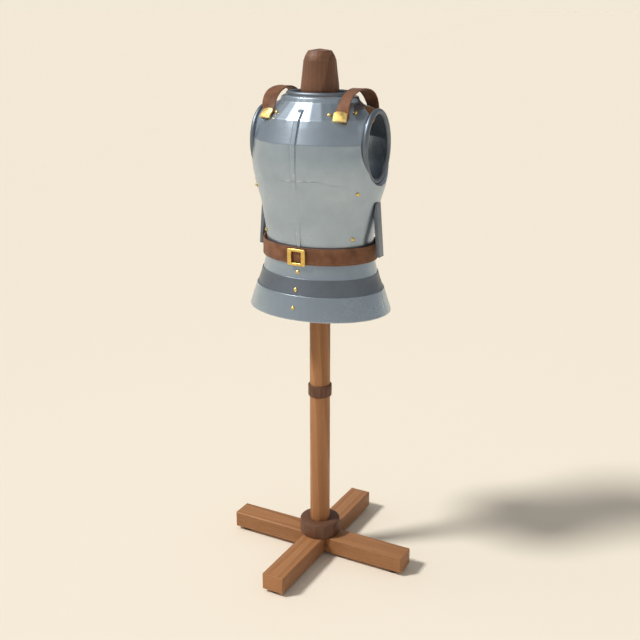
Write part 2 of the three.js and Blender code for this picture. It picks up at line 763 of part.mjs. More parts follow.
function addBase() {
  add('base_leg_x', legGeometry(true), paleWood());
  add('base_leg_y', legGeometry(false), paleWood(), new THREE.Matrix4().makeRotationZ(Math.PI / 2));
  const reach = LEG.half - FOOT.inset;
  const feet = [
    { name: 'foot_left', x: reach, y: 0 },
    { name: 'foot_right', x: -reach, y: 0 },
    { name: 'foot_front', x: 0, y: -reach },
    { name: 'foot_back', x: 0, y: reach },
  ];
  feet.forEach(({ name, x, y }) => {
    const foot = lathe([
      { radius: 0, z: 0 },
      { radius: FOOT.radius, z: 0 },
      { radius: FOOT.radius, z: LEG.low - GAP },
      { radius: 0, z: LEG.low - GAP },
    ], 16);
    add(name, foot, rubber(), new THREE.Matrix4().makeTranslation(x, y, 0));
  });
}

addBodyPlates();
addRolls();
addSkirt();
addStraps();
addBelt();
addBuckle();
addSidePlates();
addRivets();
addPost();
addBase();

export default cuirass;
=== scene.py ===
import math

import bmesh
import bpy
from mathutils import Matrix, Vector


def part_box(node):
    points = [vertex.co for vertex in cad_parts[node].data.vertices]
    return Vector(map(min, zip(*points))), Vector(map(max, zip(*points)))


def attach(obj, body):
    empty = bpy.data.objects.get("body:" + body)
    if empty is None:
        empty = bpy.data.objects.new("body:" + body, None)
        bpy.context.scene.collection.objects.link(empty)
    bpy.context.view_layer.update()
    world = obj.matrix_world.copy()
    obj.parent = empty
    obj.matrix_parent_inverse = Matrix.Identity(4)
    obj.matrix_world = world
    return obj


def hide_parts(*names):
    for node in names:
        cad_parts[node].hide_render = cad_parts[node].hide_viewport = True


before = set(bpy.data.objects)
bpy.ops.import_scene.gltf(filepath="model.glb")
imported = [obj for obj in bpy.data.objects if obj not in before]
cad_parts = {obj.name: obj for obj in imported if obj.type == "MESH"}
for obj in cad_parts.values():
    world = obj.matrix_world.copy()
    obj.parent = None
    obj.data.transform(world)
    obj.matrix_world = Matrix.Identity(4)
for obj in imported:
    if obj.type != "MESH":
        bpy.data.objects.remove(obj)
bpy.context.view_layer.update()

# A steel cuirass on its wooden stand: the finish of every piece, round the fixed frame.
# Tables and body dimensions are in millimetres; meshes are in metres. The front faces -Y.
MM = 0.001
# points of a mesh that are nearer than this are merged
MERGE = 0.02
SIDES = (("left", 1), ("right", -1))

# ---- the body shell ----
DEPTH_RATIO = 0.78
PLATE_THICKNESS = 2.0
# each half of the shell and of the skirt stops this far from the plane between front and back
SEAM = 0.5
# creases are rounded over this height to either side, measured at these shares of it
CREASE_ROUNDING = 1.5
CREASE_SAMPLES = (-1, -0.5, 0, 0.5, 1)
BODY = (
    # height, half width, creased
    (955, 162.4, False),
    (963, 158.6, False),
    (973, 156.2, False),
    (1000, 156.6, False),
    (1031, 161, False),
    (1075, 168, False),
    (1110, 175, False),
    (1150, 187, False),
    (1206, 195, False),
    (1270, 190.5, True),
    (1330.5, 162, True),
    (1371, 113.5, True),
    (1384, 107.5, True),
    (1387, 97.5, True),
)
RIDGE_HEIGHTS = (
    # height, how far the ridge stands out, creased
    (973, 0, False),
    (990, 2, False),
    (1050, 1.6, False),
    (1070, 0.3, False),
    (1135, 0.3, False),
    (1165, 0.9, False),
    (1206, 2.2, False),
    (1270, 3.5, False),
    (1330.5, 4.8, False),
    (1349, 5.4, True),
    (1356, 0, True),
)
# the ridge's half width on top and at its foot, and the columns that shape it, from the centre line
RIDGE_TOP, RIDGE_FOOT = 5.4, 7
RIDGE_STATIONS = (0, 2, 4, 5.4, 5.8, 6.2, 6.6, 7, 7.4, 7.8, 8.2, 8.7, 9.4)
# the groove beside its foot has its full depth where the ridge stands out this far
RIDGE_GROOVE = dict(depth=0.9, at=7.8, width=0.8, full_from=1.2)
# the band under the neck is hammered into flat facets, four to a side, which die out above and below it
FACET = math.radians(12.25)
FACET_COUNT, FACET_COLUMNS = 4, 8
FACET_FADE = (
    # height, how flat the facets are
    (1312, 0, False),
    (1330.5, 1, True),
    (1371, 1, True),
    (1384, 0, False),
)
# columns from the facets to the plate's edge, crowded towards the edge
SIDE_COLUMNS = 30
COLUMN_CROWDING = 1.3
# rows of the shell below, beside and above the armhole and beside the shoulder slot
ROWS_BELOW_ARM, ROWS_BESIDE_ARM, ROWS_ABOVE_ARM, ROWS_BESIDE_SLOT = 46, 76, 18, 24
# further rows over the belly crease, one a millimetre, and where the ridge ends
BELLY_ROWS = range(1150, 1185)
RIDGE_END_ROWS = (1349, 1350.5, 1352, 1353.5, 1355, 1356)
LEAST_ROW_GAP = 0.3
ARM_X, ARM_Z = 170, 1258
ARM_ROLL = dict(half_depth=72, half_height=92, radius=8)
# the plate's edge round the armhole; lip and flange are shares of the armhole's size
RIM = dict(
    clearance=0.5,  # between the plate's edge and the roll
    seat=7.8,  # the furthest that the edge stands to either side of the roll's middle
    width=6,  # how far outside the roll the body's own width is taken
    lip=0.05,  # over which the plate turns to its edge, all round
    flange=0.13,  # added to the lip on top
)
# in front of this angle from the centre line, in radians, nothing turns to the armhole
FLARE_FROM = 0.4
# the place on the armhole's rim at a height is found by halving its range this often
HALVINGS = 40
# the front and back stand apart on top of the shoulder, arched over the stand's bar
SLOT_LOW, SLOT_HIGH, SLOT_HALF_WIDTH = 1338, 1363.5, 35
BELLY_CREASE = (
    # distance from the centre line, height: a shallow line pressed into the plate
    (-52, 1174.5),
    (7, 1176),
    (69, 1178.5),
    (100, 1168.5),
    (128, 1168.5),
)
BELLY_CREASE_DEPTH, BELLY_CREASE_WIDTH, BELLY_CREASE_FADE = 1.0, 1.3, 18

# ---- rolled edges ----
NECK_ROLL = dict(z=1389.7, half_width=89.1, half_depth=68.5, radius=7)
ROLL_STEPS, ROLL_SIDES = 120, 24
# each half roll stops this angle from the plane between front and back, in radians
ROLL_END = 0.009

# ---- skirt bands ----
SKIRT = (
    # height, half width, creased
    (798, 208, False),
    (852, 190, False),
    (897, 174, False),
    (951, 160, False),
    (965, 156.4, False),
)
LAME_THICKNESS = 1.5
LAME_COLUMNS, LAME_ROWS = 97, 24
LAMES = (
    # lowest, highest, how far it stands outside the skirt's line
    (897, 963, -1.9),
    (852, 908, 0.2),
    (798, 863, 2.3),
)

# ---- straps and stitches ----
STITCH_LENGTH, STITCH_WIDTH, STITCH_SPACING = 3.4, 0.9, 6.0
STITCH_FLATNESS = 1.3  # width over height
STITCH_LIFT = 0.05  # over the leather
STRAP_STITCH_INSET = 3.6
STRAP_ROUNDING = 0.9
# a place inside each shoulder that the strap's outer side looks away from
SHOULDER_X, SHOULDER_Z = 50, 1300
# how nearly a strap's face looks sideways or outwards, and its edge runs across it, as cosines
SIDEWAYS, OUTWARDS, CROSSWISE = 0.7, 0.5, 0.75
STRAP_SHARP = math.radians(50)

# ---- belt and buckle ----
BELT = dict(low=947.5, high=994, half_width=169, half_depth=131.8, thickness=4.5)
BELT_STEPS = 240
# a groove runs round the belt this far inside each edge, this deep
BELT_EDGE, BELT_GROOVE = 3.2, 0.45
BELT_STITCHES, BELT_STITCH_INSET = 160, 5.4
# no stitches within this distance of the centre line, behind the buckle
BELT_PLAIN = 30
BUCKLE_Z = 967.5
# the belt's outer skin, taken this deep at the front, rises over the buckle's bar
BELT_RISE = dict(height=2.4, half_width=14, half_height=13, skin=2)

# ---- rivets and the stand ----
RIVET = (
    # height over the plate, radius
    (0, 0),
    (0, 5.6),
    (0.9, 5.55),
    (1.9, 5.1),
    (2.9, 4.1),
    (3.7, 2.6),
    (4.1, 1.2),
    (4.2, 0),
)
NECK_BLOCK = (
    # height, radius
    (1367.3, 0),
    (1367.3, 48),
    (1400, 52.2),
    (1415, 51),
    (1475, 44),
    (1488, 39),
    (1500, 31.5),
    (1505, 0),
)
NECK_BLOCK_SIDES = 24
RING_CHAMFER, COLLAR_CHAMFER = 3, 4
# rings and collar clear the post by this
POST_CLEARANCE = 0.3
FOOT = dict(radius=24, end_radius=23.2, chamfer=1)


def section_at(table, z):
    """A table's value at a height: smooth through its rows, straight up to creased ones."""
    low = 0
    while low < len(table) - 2 and z > table[low + 1][0]:
        low += 1

    def slope(i):
        return (table[i + 1][1] - table[i][1]) / (table[i + 1][0] - table[i][0])

    own = slope(low)

    def tangent(index, neighbour):
        if neighbour is None or table[index][2]:
            return own
        return 0 if neighbour * own <= 0 else 2 * neighbour * own / (neighbour + own)

    span = table[low + 1][0] - table[low][0]
    t = min(max((z - table[low][0]) / span, 0), 1)
    first = tangent(low, slope(low - 1) if low > 0 else None) * span
    last = tangent(low + 1, slope(low + 1) if low + 2 < len(table) else None) * span
    return (
        (2 * t**3 - 3 * t**2 + 1) * table[low][1]
        + (t**3 - 2 * t**2 + t) * first
        + (3 * t**2 - 2 * t**3) * table[low + 1][1]
        + (t**3 - t**2) * last
    )


def body_half_width(z):
    """The shell's half width, with its creases rounded over a few millimetres."""
    spread = min(CREASE_ROUNDING, z - BODY[0][0], BODY[-1][0] - z)
    if spread <= 0:
        return section_at(BODY, z)
    return sum(section_at(BODY, z + spread * share) for share in CREASE_SAMPLES) / len(CREASE_SAMPLES)


def arm_rim(angle):
    """The shell's edge round the armhole, at an angle up from level: its x and its half axes."""
    y = (ARM_ROLL["half_depth"] + RIM["width"]) * math.cos(angle)
    half_width = body_half_width(ARM_Z + (ARM_ROLL["half_height"] + RIM["width"]) * math.sin(angle))
    shell_x = half_width * math.sqrt(max(0, 1 - (y / (half_width * DEPTH_RATIO)) ** 2))
    beside = min(max(shell_x - ARM_X, -RIM["seat"]), RIM["seat"])
    nearest = max(0, beside - PLATE_THICKNESS) if beside > 0 else beside
    out = math.sqrt((ARM_ROLL["radius"] + RIM["clearance"]) ** 2 - nearest**2)
    return ARM_X + beside, ARM_ROLL["half_depth"] + out, ARM_ROLL["half_height"] + out


def flared_x(x, y, z):
    """The shell turns out or in to the roll round the armhole."""
    up = (z - ARM_Z) / ARM_ROLL["half_height"]
    angle = math.atan2(up, abs(y) / ARM_ROLL["half_depth"])
    rim_x, half_y, half_z = arm_rim(angle)
    reach = math.hypot(y / half_y, (z - ARM_Z) / half_z)
    t = min(max((reach - 1) / (RIM["lip"] + RIM["flange"] * max(0, math.sin(angle))), 0), 1)
    return rim_x + (x - rim_x) * t * t * (3 - 2 * t)


def facet_flatness(angle, z):
    """The share of the round shell's half width that is left where a facet is flat."""
    if angle > FACET * FACET_COUNT or not FACET_FADE[0][0] < z < FACET_FADE[-1][0]:
        return 1
    flat = math.cos(FACET / 2) / math.cos(angle % FACET - FACET / 2)
    return 1 + (flat - 1) * section_at(FACET_FADE, z)


def body_point(angle, z):
    """A point of the front on the left side, at an angle from the centre line."""
    half_width = body_half_width(z) * facet_flatness(angle, z)
    x = half_width * math.sin(angle)
    y = -half_width * DEPTH_RATIO * math.cos(angle)
    return Vector((flared_x(x, y, z) if angle > FLARE_FROM else x, y, z))


# ---- making pieces ----


def show(name, bm, material, replaces=(), smooth=True):
    """Turns a finished bmesh into a piece on the body."""
    mesh = bpy.data.meshes.new(name)
    for face in bm.faces:
        face.smooth = smooth
    bm.to_mesh(mesh)
    bm.free()
    mesh.materials.append(material)
    piece = bpy.data.objects.new(name, mesh)
    bpy.context.scene.collection.objects.link(piece)
    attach(piece, "root")
    if replaces:
        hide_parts(*replaces)
    return piece


def soften(piece, width, segments=2, angle=35):
    """Rounds the piece's sharp edges."""
    bevel = piece.modifiers.new("edges", "BEVEL")
    bevel.width = width * MM
    bevel.segments = segments
    bevel.limit_method = "ANGLE"
    bevel.angle_limit = math.radians(angle)
    return piece


def thicken(piece, thickness):
    """Gives a skin its wall, inwards."""
    solid = piece.modifiers.new("wall", "SOLIDIFY")
    solid.thickness = thickness * MM
    solid.offset = -1
    solid.use_even_offset = True
    return piece


def grid_skin(columns, rows, place):
    """A grid whose points are put in place by column and row."""
    bm = bmesh.new()
    bmesh.ops.create_grid(bm, x_segments=columns - 1, y_segments=rows - 1, size=0.5)
    for vert in bm.verts:
        column = round((vert.co.x + 0.5) * (columns - 1))
        row = round((vert.co.y + 0.5) * (rows - 1))
        vert.co = place(column, row) * MM
    return bm


def merged_copy(node):
    """A copy of a frame node with its loose triangles merged."""
    bm = bmesh.new()
    bm.from_mesh(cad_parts[node].data)
    bmesh.ops.remove_doubles(bm, verts=bm.verts, dist=MERGE * MM)
    return bm


def flat_copy(node):
    """A merged copy of a frame node with its flat faces joined, for rounding."""
    bm = merged_copy(node)
    bmesh.ops.dissolve_limit(bm, angle_limit=math.radians(0.5), verts=bm.verts, edges=bm.edges)
    return bm


def sweep(bm, section, frames, closed):
    """Carries a closed outline along a row of frames and shuts the ends."""
    verts = [bm.verts.new(frames[0] @ Vector(point)) for point in section]
    edges = [bm.edges.new((verts[i - 1], verts[i])) for i in range(len(verts))]
    first = list(edges)
    for before, after in zip(frames, frames[1:]):
        made = bmesh.ops.extrude_edge_only(bm, edges=edges)["geom"]
        moved = {item for item in made if isinstance(item, bmesh.types.BMVert)}
        edges = [item for item in made if isinstance(item, bmesh.types.BMEdge) and set(item.verts) <= moved]
        bmesh.ops.transform(bm, matrix=after @ before.inverted(), verts=list(moved))
    if closed:
        bmesh.ops.bridge_loops(bm, edges=first + edges)
    else:
        bmesh.ops.edgeloop_fill(bm, edges=first)
        bmesh.ops.edgeloop_fill(bm, edges=edges)
    bmesh.ops.recalc_face_normals(bm, faces=bm.faces)


def ellipse_frames(centre, first, second, start, sweep_angle, steps):
    """Frames along an ellipse: local z runs along it, local x points away from its middle."""
    normal = first.cross(second).normalized()
    frames = []
    for i in range(steps + 1):
        angle = start + sweep_angle * i / steps
        place = centre + first * math.cos(angle) + second * math.sin(angle)
        along = (second * math.cos(angle) - first * math.sin(angle)).normalized()
        outwards = along.cross(normal)
        turn = Matrix((outwards, normal, outwards.cross(normal))).transposed()
        frames.append(Matrix.Translation(place) @ turn.to_4x4())
    return frames


def turned(profile, steps=96):
    """A piece turned on the Z axis, from rows of height and radius in millimetres."""
    bm = bmesh.new()
    verts = [bm.verts.new((radius * MM, 0, z * MM)) for z, radius in profile]
    edges = [bm.edges.new(pair) for pair in zip(verts, verts[1:])]
    bmesh.ops.spin(
        bm, geom=verts + edges, cent=(0, 0, 0), axis=(0, 0, 1), angle=2 * math.pi, steps=steps, use_merge=True
    )
    bmesh.ops.remove_doubles(bm, verts=bm.verts, dist=MERGE / 2 * MM)
    bmesh.ops.recalc_face_normals(bm, faces=bm.faces)
    return bm


# ---- materials ----


class Finish:
    """A material under construction: its node tree and its main shader."""

    def __init__(self, name, color, metallic, roughness):
        self.material = bpy.data.materials.new(name)
        self.material.use_nodes = True
        self.tree = self.material.node_tree
        self.shader = self.tree.nodes["Principled BSDF"]
        self.shader.inputs["Base Color"].default_value = (*color, 1)
        self.shader.inputs["Metallic"].default_value = metallic
        self.shader.inputs["Roughness"].default_value = roughness
        self.material.diffuse_color = (*color, 1)

    def add(self, kind, **settings):
        node = self.tree.nodes.new(kind)
        for key, value in settings.items():
            setattr(node, key, value)
        return node

    def link(self, source, node, socket):
        self.tree.links.new(source, node.inputs[socket])

    def coords(self, scale=(1, 1, 1), centre=(0, 0, 0)):
        """Object coordinates, moved so that a centre is at zero, then scaled."""
        place = self.add("ShaderNodeTexCoord")
        mapping = self.add("ShaderNodeMapping")
        mapping.inputs["Scale"].default_value = scale
        mapping.inputs["Location"].default_value = [-c * s for c, s in zip(centre, scale)]
        self.link(place.outputs["Object"], mapping, "Vector")
        return mapping.outputs["Vector"]

    def noise(self, vector, scale, detail=4, roughness=0.5, distortion=0):
        node = self.add("ShaderNodeTexNoise")
        node.inputs["Scale"].default_value = scale
        node.inputs["Detail"].default_value = detail
        node.inputs["Roughness"].default_value = roughness
        node.inputs["Distortion"].default_value = distortion
        self.link(vector, node, "Vector")
        return node.outputs["Fac"]

    def cells(self, vector, scale, feature="F1", smoothness=None):
        node = self.add("ShaderNodeTexVoronoi", feature=feature)
        node.inputs["Scale"].default_value = scale
        if smoothness is not None:
            node.inputs["Smoothness"].default_value = smoothness
        self.link(vector, node, "Vector")
        return node.outputs["Distance"]

    def ramp(self, value, *stops):
        """Maps a value through (position, colour or grey) stops."""
        node = self.add("ShaderNodeValToRGB")
        elements = node.color_ramp.elements
        while len(elements) < len(stops):
            elements.new(0.5)
        for element, (position, color) in zip(elements, stops):
            element.position = position
            element.color = (*color, 1) if isinstance(color, tuple) else (color, color, color, 1)
        self.link(value, node, "Fac")
        return node.outputs["Color"]

    def mix(self, factor, first, second, blend="MIX"):
        """Mixes two colours; each is an output or a fixed colour."""
        node = self.add("ShaderNodeMix", data_type="RGBA", blend_type=blend)
        for socket, value in ((0, factor), (6, first), (7, second)):
            if isinstance(value, (int, float)):
                node.inputs[socket].default_value = value
            elif isinstance(value, tuple):
                node.inputs[socket].default_value = (*value, 1)
            else:
                self.tree.links.new(value, node.inputs[socket])
        return node.outputs[2]

    def bump(self, height, distance, strength=1.0, under=None):
        """A bump of a given depth in millimetres, over an earlier one."""
        node = self.add("ShaderNodeBump")
        node.inputs["Strength"].default_value = strength
        node.inputs["Distance"].default_value = distance * MM
        self.link(height, node, "Height")
        if under is not None:
            self.link(under, node, "Normal")
        return node.outputs["Normal"]

    def edges(self, low, high):
        """White on outer edges, black in hollows, changing between two sharpnesses."""
        return self.ramp(self.add("ShaderNodeNewGeometry").outputs["Pointiness"], (low, 0.0), (high, 1.0))

    def done(self, color=None, roughness=None, normal=None):
        for socket, value in (("Base Color", color), ("Roughness", roughness), ("Normal", normal)):
            if value is not None:
                self.link(value, self.shader, socket)
        return self.material


def steel_finish(name, light, dark, rough_low, rough_high, wear):
    """Forged plate: planished all over, brushed round the body, with stains, brighter edges and painted shade
    darkening its hollows.
    """
    finish = Finish(name, light, 0.85, (rough_low + rough_high) / 2)
    here = finish.coords()
    round_the_body = finish.coords((3, 3, 60))
    stain = finish.noise(here, 7, detail=6, roughness=0.6)
    patches = finish.ramp(stain, (0.32, dark), (0.62, light))
    specks = finish.ramp(finish.noise(here, 160, detail=3, roughness=0.7), (0.66, 1.0), (0.8, 0.72))
    color = finish.mix(1.0, patches, specks, "MULTIPLY")
    color = finish.mix(finish.edges(0.52, 0.6), color, wear)
    # painted shade: the colour is darkened in hollows, such as the grooves beside the ridge and the belly
    # crease, where shadow falls
    color = finish.mix(1.0, color, finish.edges(0.4, 0.47), "MULTIPLY")
    brushed = finish.noise(round_the_body, 34, detail=8, roughness=0.7)
    roughness = finish.ramp(stain, (0.3, rough_high), (0.7, rough_low))
    roughness = finish.mix(0.45, roughness, brushed, "SOFT_LIGHT")
    planished = finish.cells(here, 30, feature="SMOOTH_F1", smoothness=0.8)
    normal = finish.bump(planished, 1.0, strength=0.22)
    normal = finish.bump(finish.noise(here, 55, detail=2), 0.5, strength=0.16, under=normal)
    normal = finish.bump(brushed, 0.06, strength=0.5, under=normal)
    return finish.done(color, roughness, normal)


def brass_finish():
    """Cast brass, rubbed bright on its edges and dull in its corners."""
    finish = Finish("brass", (0.83, 0.55, 0.15), 1.0, 0.3)
    here = finish.coords()
    dull = finish.noise(here, 90, detail=5, roughness=0.6)
    color = finish.ramp(dull, (0.3, (0.7, 0.43, 0.1)), (0.6, (0.9, 0.61, 0.17)))
    color = finish.mix(finish.edges(0.5, 0.62), color, (1.0, 0.86, 0.42))
    roughness = finish.ramp(dull, (0.3, 0.46), (0.7, 0.24))
    normal = finish.bump(finish.noise(here, 420, detail=3), 0.12, strength=0.5)
    return finish.done(color, roughness, normal)


def leather_finish():
    """Waxed strap leather: pebbled grain, dark rubs, paler dry patches and burnished edges."""
    finish = Finish("leather", (0.24, 0.11, 0.06), 0.0, 0.55)
    finish.shader.inputs["Specular IOR Level"].default_value = 0.2
    here = finish.coords()
    tone = finish.noise(here, 26, detail=6, roughness=0.62)
    rubbed, plain, dry = (0.135, 0.058, 0.03), (0.235, 0.105, 0.056), (0.34, 0.165, 0.09)
    color = finish.ramp(tone, (0.28, rubbed), (0.52, plain), (0.78, dry))
    pebbles = finish.cells(here, 620, feature="SMOOTH_F1", smoothness=0.5)
    color = finish.mix(0.35, color, finish.ramp(pebbles, (0.1, 1.0), (0.75, 0.45)), "MULTIPLY")
    color = finish.mix(finish.edges(0.53, 0.66), color, (0.12, 0.05, 0.027))
    roughness = finish.ramp(tone, (0.3, 0.44), (0.7, 0.66))
    normal = finish.bump(pebbles, 0.22, strength=0.5)
    normal = finish.bump(finish.noise(here, 95, detail=5, distortion=1.2), 0.5, strength=0.25, under=normal)
    return finish.done(color, roughness, normal)


def thread_finish():
    """Waxed linen thread."""
    finish = Finish("thread", (0.36, 0.22, 0.12), 0.0, 0.7)
    here = finish.coords()
    twist = finish.noise(here, 1500, detail=2)
    color = finish.ramp(twist, (0.3, (0.2, 0.11, 0.06)), (0.7, (0.42, 0.27, 0.16)))
    return finish.done(color, None, finish.bump(twist, 0.1, strength=0.6))


def drawn_out(axis, scale):
    """Scales that draw a pattern out along one axis."""
    return tuple(scale if i == axis else 1.0 for i in range(3))


def wood_finish(name, axis, pale, deep, pith, rings=1.0):
    """Oiled hardwood, its grain along one axis (0, 1 or 2) and its rings round a pith line, in metres."""
    finish = Finish(name, pale, 0.0, 0.5)
    finish.shader.inputs["Specular IOR Level"].default_value = 0.3
    grain = finish.coords(drawn_out(axis, 0.06), pith)
    wander = finish.add("ShaderNodeTexNoise")
    wander.inputs["Scale"].default_value = 9
    finish.link(grain, wander, "Vector")
    shifted = finish.add("ShaderNodeVectorMath", operation="MULTIPLY_ADD")
    finish.link(wander.outputs["Color"], shifted, 0)
    shifted.inputs[1].default_value = (0.018, 0.018, 0.018)
    finish.link(finish.coords(drawn_out(axis, 0.02), pith), shifted, 2)
    length = finish.add("ShaderNodeVectorMath", operation="LENGTH")
    finish.link(shifted.outputs[0], length, 0)
    turns = finish.add("ShaderNodeMath", operation="MULTIPLY")
    turns.inputs[1].default_value = 210 * rings
    finish.link(length.outputs["Value"], turns, 0)
    part = finish.add("ShaderNodeMath", operation="FRACT")
    finish.link(turns.outputs[0], part, 0)
    ring = finish.ramp(part.outputs[0], (0.0, 0.15), (0.55, 0.5), (0.9, 0.95), (1.0, 0.15))
    fibre = finish.noise(grain, 260, detail=6, roughness=0.65)
    figure = finish.mix(0.45, ring, fibre)
    broad = finish.noise(finish.coords(drawn_out(axis, 0.25)), 8, detail=3)
    figure = finish.mix(0.35, figure, broad)
    color = finish.ramp(figure, (0.3, deep), (0.68, pale))
    pores = finish.ramp(finish.noise(grain, 620, detail=2), (0.6, 1.0), (0.72, 0.62))
    color = finish.mix(1.0, color, pores, "MULTIPLY")
    color = finish.mix(finish.edges(0.52, 0.62), color, tuple(min(1, c * 1.45) for c in pale))
    roughness = finish.ramp(figure, (0.3, 0.58), (0.7, 0.42))
    normal = finish.bump(fibre, 0.25, strength=0.5)
    normal = finish.bump(pores, 0.2, strength=0.4, under=normal)
    return finish.done(color, roughness, normal)


def pad_finish():
    """Dull dark pads under the legs."""
    finish = Finish("foot_pad", (0.022, 0.019, 0.017), 0.0, 0.8)
    tone = finish.noise(finish.coords(), 300, detail=3)
    color = finish.ramp(tone, (0.3, (0.016, 0.014, 0.012)), (0.7, (0.034, 0.03, 0.027)))
    return finish.done(color, None, finish.bump(tone, 0.2, strength=0.4))


STEEL = steel_finish(
    "steel",
    light=(0.43, 0.51, 0.59),
    dark=(0.345, 0.415, 0.485),
    rough_low=0.25,
    rough_high=0.36,
    wear=(0.66, 0.7, 0.72),
)
DARK_STEEL = steel_finish(
    "dark_steel",
    light=(0.205, 0.24, 0.285),
    dark=(0.15, 0.175, 0.21),
    rough_low=0.36,
    rough_high=0.5,
    wear=(0.34, 0.37, 0.4),
)
BRASS = brass_finish()
LEATHER = leather_finish()
THREAD = thread_finish()
PALE, DEEP = (0.382, 0.18, 0.074), (0.224, 0.092, 0.035)
WOOD = {
    "post": wood_finish("wood_post", 2, PALE, DEEP, (0.004, 0.006, 0)),
    "base_leg_x": wood_finish("wood_leg_x", 0, PALE, DEEP, (0, 0.01, -0.01)),
    "base_leg_y": wood_finish("wood_leg_y", 1, PALE, DEEP, (0.012, 0, -0.02)),
    "shoulder_bar": wood_finish("wood_bar", 0, PALE, DEEP, (0, 0.01, 1.3)),
}
TURNED_PITH = (0.006, -0.004, 0)
DARK_WOOD = wood_finish("dark_wood", 2, (0.165, 0.078, 0.045), (0.085, 0.037, 0.021), TURNED_PITH)
BLOCK_WOOD = wood_finish("block_wood", 2, (0.21, 0.1, 0.056), (0.13, 0.06, 0.034), TURNED_PITH, rings=0.5)
PAD = pad_finish()


# ---- breastplate and backplate ----


def arm_place(angle):
    """Height of the armhole's rim at an angle up from level, and its distance from the seam's plane."""
    _, half_y, half_z = arm_rim(angle)
    return ARM_Z + half_z * math.sin(angle), half_y * math.cos(angle)


def plate_rows():
    """Heights of the shell's rows, close together where the plate has fine shape."""
    bottom, top = BODY[0][0], BODY[-1][0]
    low, high = arm_place(-math.pi / 2)[0], arm_place(math.pi / 2)[0]
    slot = SLOT_HIGH - SLOT_LOW
    creases = [z for z, _, creased in BODY[:-1] if creased]
    rows = [bottom + (low - bottom) * i / ROWS_BELOW_ARM for i in range(ROWS_BELOW_ARM)]
    rows += [arm_place(math.pi * (i / ROWS_BESIDE_ARM - 0.5))[0] for i in range(ROWS_BESIDE_ARM + 1)]
    for i in range(ROWS_BESIDE_SLOT + 1):
        rows.append(SLOT_LOW + slot * math.sin(math.pi * i / (2 * ROWS_BESIDE_SLOT)))
    rows += [high + (top - high) * i / ROWS_ABOVE_ARM for i in range(1, ROWS_ABOVE_ARM + 1)]
    rows += [crease + CREASE_ROUNDING * share for crease in creases for share in CREASE_SAMPLES]
    rows += [*BELLY_ROWS, *RIDGE_END_ROWS]
    rows.sort()
    kept = [rows[0]]
    for z in rows[1:]:
        if z - kept[-1] > LEAST_ROW_GAP or z == rows[-1]:
            kept.append(z)
    return kept


def edge_distance(z):
    """How far the plate's edge is from the seam's plane, between front and back, at a height."""
    distance = SEAM
    if arm_place(-math.pi / 2)[0] < z < arm_place(math.pi / 2)[0]:
        low, high = -math.pi / 2, math.pi / 2
        for _ in range(HALVINGS):
            middle = (low + high) / 2
            if arm_place(middle)[0] < z:
                low = middle
            else:
                high = middle
        distance = max(distance, arm_place(low)[1])
    if SLOT_LOW < z < SLOT_HIGH:
        part = (z - SLOT_LOW) / (SLOT_HIGH - SLOT_LOW)
        distance = max(distance, SLOT_HALF_WIDTH * math.sqrt(1 - part * part))
    return distance


def ridge_rise(x, height):
    """The rise of a ridge of this height, at a distance from the centre line, less the groove's depth."""
    t = min(max((RIDGE_FOOT - x) / (RIDGE_FOOT - RIDGE_TOP), 0), 1)
    groove = RIDGE_GROOVE["depth"] * math.exp(-(((x - RIDGE_GROOVE["at"]) / RIDGE_GROOVE["width"]) ** 2))
    return height * t * t * (3 - 2 * t) - groove * min(1, height / RIDGE_GROOVE["full_from"])


def column_angles(z):
    """Angles of a row's columns from the centre line to the plate's edge, one on each facet's edge."""
    half_width = body_half_width(z)
    angles = [math.asin(x / half_width) for x in RIDGE_STATIONS]
    past_ridge = FACET_COLUMNS // 2
    angles += [FACET * i / FACET_COLUMNS for i in range(past_ridge, FACET_COLUMNS * FACET_COUNT + 1)]
    start = angles[-1]
    edge = math.acos(edge_distance(z) / (half_width * DEPTH_RATIO))
    for i in range(1, SIDE_COLUMNS + 1):
        angles.append(start + (edge - start) * (1 - (1 - i / SIDE_COLUMNS) ** COLUMN_CROWDING))
    return angles


def belly_crease(x, z):
    """Depth of the shallow crease across the belly."""
    if not BELLY_CREASE[0][0] < x < BELLY_CREASE[-1][0]:
        return 0
    for (x0, z0), (x1, z1) in zip(BELLY_CREASE, BELLY_CREASE[1:]):
        if x <= x1:
            line = z0 + (z1 - z0) * (x - x0) / (x1 - x0)
            break
    ends = min(x - BELLY_CREASE[0][0], BELLY_CREASE[-1][0] - x)
    depth = BELLY_CREASE_DEPTH * min(1, ends / BELLY_CREASE_FADE)
    return depth * math.exp(-(((z - line) / BELLY_CREASE_WIDTH) ** 2))


def body_plate(name, facing):
    """One half of the shell; facing is 1 for the front, with the ridge and crease, and -1 for the back."""
    rows = plate_rows()
    table = [column_angles(z) for z in rows]
    half = len(table[0])

    def place(column, row):
        step = column - (half - 1)
        z = rows[row]
        point = body_point(table[row][abs(step)], z)
        side = -1 if step < 0 else 1
        if facing > 0:
            height = section_at(RIDGE_HEIGHTS, z) if RIDGE_HEIGHTS[0][0] < z < RIDGE_HEIGHTS[-1][0] else 0
            point.y += belly_crease(side * point.x, z) - ridge_rise(point.x, height)
        return Vector((side * facing * point.x, facing * point.y, z))

    bm = grid_skin(2 * half - 1, len(rows), place)
    piece = show(name + "_skin", bm, STEEL, (name,))
    return soften(thicken(piece, PLATE_THICKNESS), 0.5)


body_plate("breastplate", 1)
body_plate("backplate", -1)


# ---- rolled edges ----


def roll(name, centre, first, second, radius):
    """Half of a rolled edge: a bead that starts at the first half axis and runs past the second."""
    bm = bmesh.new()
    frames = ellipse_frames(centre, first, second, ROLL_END, math.pi - 2 * ROLL_END, ROLL_STEPS)
    turns = [2 * math.pi * i / ROLL_SIDES for i in range(ROLL_SIDES)]
    section = [(radius * MM * math.cos(turn), radius * MM * math.sin(turn), 0) for turn in turns]
    sweep(bm, section, frames, closed=False)
    soften(show(name + "_bead", bm, DARK_STEEL, (name,)), 0.6)


